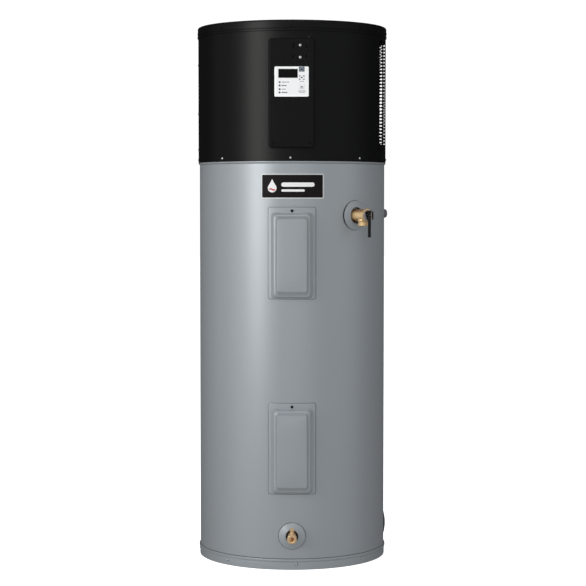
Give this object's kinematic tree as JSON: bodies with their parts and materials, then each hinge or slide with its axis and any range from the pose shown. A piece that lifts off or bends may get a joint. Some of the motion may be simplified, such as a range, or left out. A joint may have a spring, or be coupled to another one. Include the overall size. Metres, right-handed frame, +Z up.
{
  "type": "tank water heater",
  "caption": "Floor-standing electric tank water heater with a heat pump under a black upper shroud, side exhaust grille, control panel, relief valve and drain valve.",
  "frame": {"origin": "floor centre under the tank's axis, on the flat underside of the base pan", "axes": "+Z up, the control panel and both element covers face -Y, the exhaust grille and the water pipes are on the +X side"},
  "size_m": [0.5648, 0.628, 1.5512],
  "materials": {
    "jacket_paint": "satin bluish-grey powder coat",
    "shroud_paint": "satin black powder coat",
    "dark_plastic": "moulded black plastic",
    "grey_plastic": "moulded grey plastic",
    "plate_film": "black printed foil with a silver edge",
    "white_plastic": "smooth white plastic",
    "lcd_glass": "black display window",
    "brass": "machined brass",
    "steel": "zinc-plated steel",
    "tank_enamel": "blue-grey glass-lined steel",
    "foam": "rigid polyurethane foam",
    "copper": "drawn copper tube",
    "bare_aluminium": "plain aluminium",
    "circuit_board": "green circuit board",
    "galvanised": "galvanised sheet"
  },
  "bodies": {
    "heater": {"base_pan": "jacket_paint", "jacket": "jacket_paint", "jacket_top_pan": "jacket_paint", "nameplate": "plate_film", "tank_vessel": "tank_enamel", "foam_insulation": "foam", "condenser_coil": "bare_aluminium", "anode_rod": "steel", "upper_element_cover": "jacket_paint", "upper_cover_screw": "steel", "upper_heating_element": "steel", "upper_thermostat": "dark_plastic", "lower_element_cover": "jacket_paint", "lower_cover_screw": "steel", "lower_heating_element": "steel", "lower_thermostat": "dark_plastic", "shroud_front": "shroud_paint", "exhaust_panel": "shroud_paint", "shroud_rear": "shroud_paint", "top_cap": "shroud_paint", "control_panel": "dark_plastic", "display_bezel": "white_plastic", "display_window": "lcd_glass", "control_board": "circuit_board", "upper_panel_screw": "steel", "lower_panel_screw": "steel", "relief_valve_trim_ring": "grey_plastic", "relief_valve_body": "brass", "relief_valve_bonnet": "steel", "drain_valve_trim_ring": "grey_plastic", "drain_valve_body": "brass", "hot_outlet_trim_ring": "grey_plastic", "hot_outlet_nipple": "steel", "cold_inlet_trim_ring": "dark_plastic", "cold_inlet_socket": "brass", "compressor": "dark_plastic", "compressor_mount_plate": "galvanised", "accumulator": "dark_plastic", "evaporator_coil": "bare_aluminium", "fan_shroud": "galvanised", "fan_motor": "dark_plastic", "condensate_tray": "dark_plastic", "condensate_drain_stub": "white_plastic", "filter_guide_frame": "dark_plastic", "expansion_valve": "brass", "liquid_line": "copper", "discharge_line": "copper", "suction_line": "copper", "accumulator_pipe": "copper", "junction_box": "galvanised", "junction_box_cover": "shroud_paint"},
    "relief_lever": {"relief_valve_lever": "dark_plastic"},
    "relief_stem": {"relief_valve_stem": "steel"},
    "drain_handle": {"drain_valve_handle": "brass"},
    "up_key": {"up_button": "white_plastic"},
    "down_key": {"down_button": "white_plastic"},
    "mode_key": {"mode_button": "white_plastic"},
    "fan": {"fan_rotor": "dark_plastic"},
    "filter": {"air_filter": "dark_plastic"}
  },
  "joints": [
    {"name": "relief_lever_lift", "type": "hinge", "parent": "heater", "child": "relief_lever", "pos_m": [0.21639, -0.24849, 1.014], "axis": [-0.7541, -0.6567, 0], "range_deg": [0, 90], "stiffness_Nm_per_rad": 0.3},
    {"name": "relief_stem_pull", "type": "slide", "parent": "heater", "child": "relief_stem", "axis": [0.6567, -0.7541, 0], "range_m": [0, 0.003]},
    {"name": "drain_handle_turn", "type": "hinge", "parent": "heater", "child": "drain_handle", "pos_m": [0, -0.3, 0.097], "axis": [0, 0, 1], "range_deg": [0, 90]},
    {"name": "up_button_press", "type": "slide", "parent": "heater", "child": "up_key", "axis": [0, 1, 0], "range_m": [0, 0.0012], "stiffness_N_per_m": 300},
    {"name": "down_button_press", "type": "slide", "parent": "heater", "child": "down_key", "axis": [0, 1, 0], "range_m": [0, 0.0012], "stiffness_N_per_m": 300},
    {"name": "mode_button_press", "type": "slide", "parent": "heater", "child": "mode_key", "axis": [0, 1, 0], "range_m": [0, 0.0012], "stiffness_N_per_m": 300},
    {"name": "fan_spin", "type": "hinge", "parent": "heater", "child": "fan", "pos_m": [0.199, 0, 1.345], "axis": [1, 0, 0], "continuous": true},
    {"name": "air_filter_lift", "type": "slide", "parent": "heater", "child": "filter", "axis": [0, 0, 1], "range_m": [0, 0.37]}
  ],
  "couplings": [
    {"joint": "relief_stem_pull", "follows": "relief_lever_lift", "m_per_rad": 0.0019}
  ]
}
